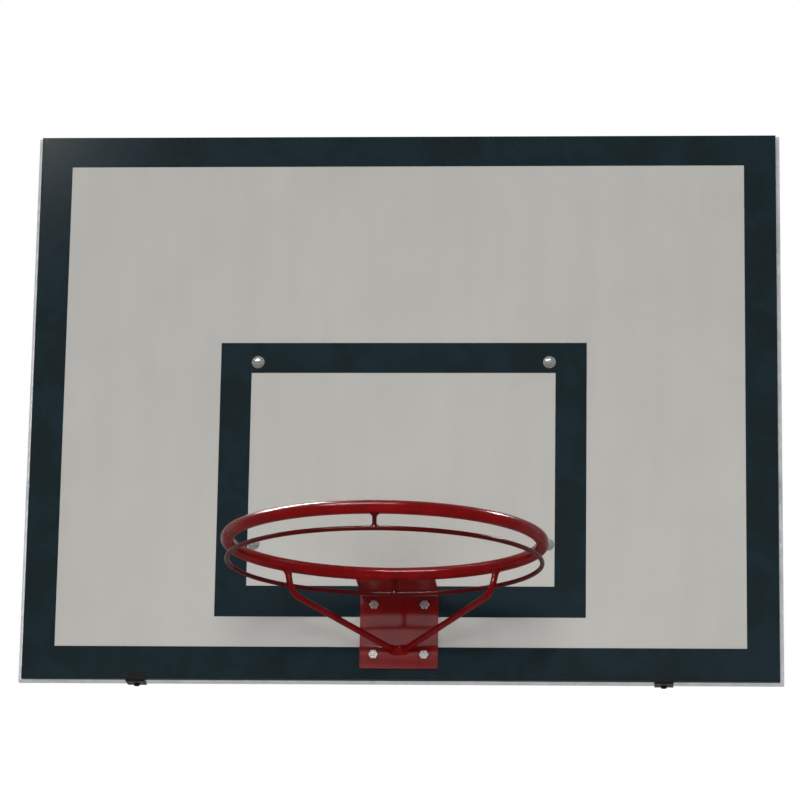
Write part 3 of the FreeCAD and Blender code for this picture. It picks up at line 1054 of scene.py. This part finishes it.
class BACKBOARD_OT_rim(Operator):
    """Enamels the rim and adds its weld beads"""

    bl_idname = "backboard.rim"
    bl_label = "Rim"

    def execute(self, context):
        rim = context.scene.backboard.rim
        # The bracket, braces and net ring take copies of the ring's enamel darkened to 0.9, 0.85 and
        # 0.38, which is painted shade. The welds on them share these shaded copies.
        dress(["rim_bracket"], red_enamel("bracket_enamel", rim, gloss=0.15, coat_weight=0.75, tone=0.9))
        dress(["rim_ring"], red_enamel("ring_enamel", rim, gloss=0.04, coat_weight=0.03))
        enamel = red_enamel("brace_enamel", rim, gloss=0.04, coat_weight=0.03, tone=0.85)
        dress(BRACES, enamel)
        shaded_net_enamel = red_enamel("net_ring_enamel", rim, gloss=0.04, coat_weight=0.02, tone=0.38)
        dress(NET_RODS, shaded_net_enamel)
        add_piece("post_welds", merged(post_welds(rim)), "rim_enamel", shaded_net_enamel)
        add_piece("shelf_welds", merged(shelf_seams(rim.weld_radius)), "rim_enamel", enamel)
        for side in ("left", "right"):
            node = f"{side}_brace"
            beads = [brace_top_weld(node, rim.flare_reach)] + net_ring_tacks(node, rim.tack_radius)
            add_piece(f"{side}_brace_welds", merged(beads), "rim_enamel", enamel)
        foot = merged(brace_foot_welds(rim.foot_weld_radius))
        add_piece("brace_foot_welds", foot, "rim_enamel", enamel)
        return {"FINISHED"}


class BACKBOARD_OT_fasteners(Operator):
    """Makes the bolts, nuts, washers and screws with threads and recesses"""

    bl_idname = "backboard.fasteners"
    bl_label = "Fasteners"

    def execute(self, context):
        settings = context.scene.backboard
        fasteners = settings.fasteners
        zinc = zinc_plating("bright_zinc", fasteners)
        # The coach bolts take the zinc darkened to 0.42, which is painted shade on their domes.
        self.mounting_set(fasteners, zinc, zinc_plating("dull_zinc", fasteners, tone=0.42))
        self.rim_set(fasteners, zinc)
        self.panel_screws(fasteners, zinc)
        return {"FINISHED"}

    def shank(self, fasteners, start, nut_face, end):
        """Sections of the rolled shank and of the thread, which starts inside the nut."""
        radius = fasteners.shank_diameter / 2
        inside = nut_face - 0.2 * MM
        rows = [section(start, radius), section(inside, radius)]
        return rows + thread_sections(fasteners, inside, end)

    def mounting_set(self, fasteners, zinc, dull):
        low, high = solid_boxes("mounting_bolts")[0]
        face = PANEL_LOW.y
        places = axis_places("mounting_bolts", face)
        neck = fasteners.thread_diameter
        neck_length = 4 * MM
        rows = dome_sections((high.x - low.x) / 2, face - low.y)
        rows.append(section(0.0, neck, neck, 4, pi / 4))
        rows.append(section(neck_length, neck, neck, 4, pi / 4))
        rows += self.shank(fasteners, neck_length, MOUNT_NUT_HIGH.y - face, high.y - face)
        bolts = placed_copies(rows, places)
        # The coach bolts' darker zinc, passed in as dull, is painted shade.
        add_piece("coach_bolts", bolts, "zinc_fastener", dull, "mounting_bolts")
        self.nuts_and_washers("mounting", fasteners, zinc)

    def rim_set(self, fasteners, zinc):
        low, high = solid_boxes("rim_bolts")[0]
        face = BRACKET_LEG_FRONT
        places = axis_places("rim_bolts", face)
        head = face - low.y
        washer_face = 0.4 * MM
        rows = [section(-head, 0.42 * fasteners.across_flats)]
        rows += hexagon_sections(fasteners.across_flats, -head, -washer_face)
        rows.append(section(-washer_face, 0.48 * fasteners.across_flats))
        rows.append(section(0.0, 0.48 * fasteners.across_flats))
        rows += self.shank(fasteners, 0.0, RIM_NUT_HIGH.y - face, high.y - face)
        bolts = placed_copies(rows, places)
        add_piece("hexagon_bolts", bolts, "zinc_fastener", zinc, "rim_bolts", sharp=25.0)
        self.nuts_and_washers("rim", fasteners, zinc)

    def nuts_and_washers(self, kind, fasteners, zinc):
        """Nuts and washers of the mounting or the rim bolts."""
        low, high = solid_boxes(f"{kind}_nuts")[0]
        nuts = placed_copies(
            nut_sections(fasteners, high.y - low.y), axis_places(f"{kind}_nuts", low.y), True
        )
        add_piece(f"{kind}_hexagon_nuts", nuts, "zinc_fastener", zinc, f"{kind}_nuts", sharp=25.0)
        low, high = solid_boxes(f"{kind}_washers")[0]
        bore = fasteners.thread_diameter / 2 + 0.5 * MM
        rows = washer_sections((high.x - low.x) / 2, bore, high.y - low.y)
        washers = placed_copies(rows, axis_places(f"{kind}_washers", low.y), True)
        add_piece(f"{kind}_flat_washers", washers, "zinc_fastener", zinc, f"{kind}_washers")

    def panel_screws(self, fasteners, zinc):
        low, high = solid_boxes("panel_screws")[0]
        seat = BOTTOM_HIGH.y
        screw = pan_head_screw((high.x - low.x) / 2, high.y - seat, seat - low.y, fasteners)
        places = axis_places("panel_screws", seat)
        turns = [Matrix.Rotation(0.9 * i, 4, "Y") for i in range(len(places))]
        moves = [Matrix.Translation(place) @ turn for place, turn in zip(places, turns)]
        add_piece("pan_head_screws", repeated(screw, moves), "zinc_fastener", zinc, "panel_screws")


class BACKBOARD_OT_clips(Operator):
    """Paints the edge clips and makes their screws"""

    bl_idname = "backboard.clips"
    bl_label = "Edge clips"

    def execute(self, context):
        settings = context.scene.backboard
        black = black_paint(settings.steel)
        dress(["left_edge_clip", "right_edge_clip"], black)
        clip_low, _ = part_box("left_edge_clip")
        boxes = solid_boxes("edge_clip_screws")
        low, high = boxes[0]
        radius = (high.x - low.x) / 2
        screw = pan_head_screw(radius, clip_low.z - low.z, high.z - clip_low.z, settings.fasteners)
        head_down = Matrix.Rotation(-pi / 2, 4, "X")
        moves = []
        for low, high in boxes:
            middle = (low + high) / 2
            moves.append(Matrix.Translation((middle.x, middle.y, clip_low.z)) @ head_down)
        add_piece("clip_screws", repeated(screw, moves), "clip_black", black, "edge_clip_screws")
        return {"FINISHED"}


# Places and sizes of the lamps

KEY_PLACE = (-1.38, -4.3, 2.05)
KEY_SIZE = 0.35
WIDE_LAMPS = (
    ("fill", (0.3, -8.5, 0.7), PANEL_MIDDLE, 2.2),
    ("bounce", (0.0, -2.4, -2.2), PANEL_MIDDLE, 2.4),
    ("overhead", (-0.3, 0.4, 3.6), RING_CENTRE, 1.2),
    ("rear", (0.5, 4.5, 0.4), PANEL_MIDDLE, 2.0),
)
CEILING_PLACES = [(-1.9 + 0.7 * i, -2.6, 2.3) for i in range(4)]
CEILING_SIZE = 0.5
SIDE_PLACES = [
    (-0.88, -0.155, 0.63),
    (-0.68, -0.155, 0.74),
    (-0.48, -0.155, 0.82),
    (0.88, -0.155, 0.63),
]
SIDE_SIZE = 0.2
SIDE_AIM_SHARE = 0.178
SIDE_AIM_Y = -0.6
SIDE_AIM_Z = -0.22
GLOSS_LAMP_HEIGHT_SHARE = 0.8


class BACKBOARD_OT_stage(Operator):
    """Sets the floor, surroundings, lamps and camera"""

    bl_idname = "backboard.stage"
    bl_label = "Stage"

    def execute(self, context):
        stage = context.scene.backboard.stage
        scene = context.scene
        scene.view_settings.view_transform = "Standard"
        self.floor(scene, stage)
        self.surroundings(scene, stage)
        self.lamp(scene, "key", KEY_PLACE, PANEL_MIDDLE, KEY_SIZE, stage.key)
        for name, place, target, diameter in WIDE_LAMPS:
            lamp = self.lamp(scene, name, place, target, diameter, getattr(stage, name))
            lamp.visible_glossy = False
        for i, place in enumerate(CEILING_PLACES):
            lamp = self.lamp(scene, f"ceiling_{i}", place, RING_CENTRE, CEILING_SIZE, stage.ceiling)
            self.gloss_only(lamp, stage.ceiling_beam)
        for i, place in enumerate(SIDE_PLACES):
            target = (SIDE_AIM_SHARE * place[0], SIDE_AIM_Y, SIDE_AIM_Z)
            lamp = self.lamp(scene, f"side_{i}", place, target, SIDE_SIZE, stage.side)
            self.gloss_only(lamp, stage.side_beam)
        self.camera(scene, stage)
        return {"FINISHED"}

    def floor(self, scene, stage):
        half = FLOOR_HALF
        z = PANEL_LOW.z - stage.board_height
        corners = [(-half, -half, z), (half, -half, z), (half, half, z), (-half, half, z)]
        mesh = bpy.data.meshes.new("floor")
        mesh.from_pydata(corners, [], [(0, 1, 2, 3)])
        mesh.materials.append(pale_floor())
        floor = bpy.data.objects.new("floor", mesh)
        scene.collection.objects.link(floor)

    def surroundings(self, scene, stage):
        """White to the camera and in reflections, and a softer light on the object."""
        world = bpy.data.worlds.new("surroundings")
        world.use_nodes = True
        scene.world = world
        maker = NodeMaker(world.node_tree)
        background = world.node_tree.nodes["Background"]
        background.inputs["Color"].default_value = (1.0, 1.0, 1.0, 1.0)
        strength = stage.sky + (1.0 - stage.sky) * background_rays(maker)
        maker.feed(background.inputs["Strength"], strength)

    def lamp(self, scene, name, place, target, size, power):
        data = bpy.data.lights.new(name, "AREA")
        data.shape = "DISK"
        data.size = size
        data.energy = power
        lamp = bpy.data.objects.new(name, data)
        lamp.location = place
        lamp.rotation_euler = (Vector(target) - Vector(place)).to_track_quat("-Z", "Y").to_euler()
        scene.collection.objects.link(lamp)
        return lamp

    def gloss_only(self, lamp, beam):
        """Makes a lamp oblong, with a narrow beam that shows in reflections alone."""
        lamp.data.shape = "RECTANGLE"
        lamp.data.size_y = GLOSS_LAMP_HEIGHT_SHARE * lamp.data.size
        lamp.data.spread = beam
        lamp.visible_diffuse = False
        lamp.visible_camera = False

    def camera(self, scene, stage):
        data = bpy.data.cameras.new("camera")
        data.sensor_width = 36.0
        data.lens = stage.lens
        data.clip_end = 200.0
        camera = bpy.data.objects.new("camera", data)
        camera.location = stage.camera_place
        tilt, roll, turn = stage.camera_turn
        camera.rotation_euler = (pi / 2 + tilt, roll, turn)
        scene.collection.objects.link(camera)
        scene.camera = camera


OPERATORS = (
    BACKBOARD_OT_board,
    BACKBOARD_OT_frame,
    BACKBOARD_OT_rim,
    BACKBOARD_OT_fasteners,
    BACKBOARD_OT_clips,
    BACKBOARD_OT_stage,
)


class BACKBOARD_PT_sidebar(Panel):
    """Steps and settings of the backboard"""

    bl_idname = "BACKBOARD_PT_sidebar"
    bl_label = "Backboard"
    bl_space_type = "VIEW_3D"
    bl_region_type = "UI"
    bl_category = "Backboard"

    def draw(self, context):
        for operator in OPERATORS:
            self.layout.operator(operator.bl_idname)
        settings = context.scene.backboard
        for group in settings.bl_rna.properties:
            if group.type != "POINTER" or group.identifier == "rna_type":
                continue
            box = self.layout.box()
            chosen = getattr(settings, group.identifier)
            for item in chosen.bl_rna.properties:
                if item.identifier not in ("rna_type", "name"):
                    box.prop(chosen, item.identifier)


CLASSES = (
    BoardSettings,
    SteelSettings,
    RimSettings,
    FastenerSettings,
    StageSettings,
    BackboardSettings,
    *OPERATORS,
    BACKBOARD_PT_sidebar,
)


def register():
    for cls in CLASSES:
        bpy.utils.register_class(cls)
    bpy.types.Scene.backboard = PointerProperty(type=BackboardSettings)


def unregister():
    del bpy.types.Scene.backboard
    for cls in reversed(CLASSES):
        bpy.utils.unregister_class(cls)


def main():
    register()
    bpy.ops.backboard.board()
    bpy.ops.backboard.frame()
    bpy.ops.backboard.rim()
    bpy.ops.backboard.fasteners()
    bpy.ops.backboard.clips()
    bpy.ops.backboard.stage()


if __name__ == "__main__":
    main()
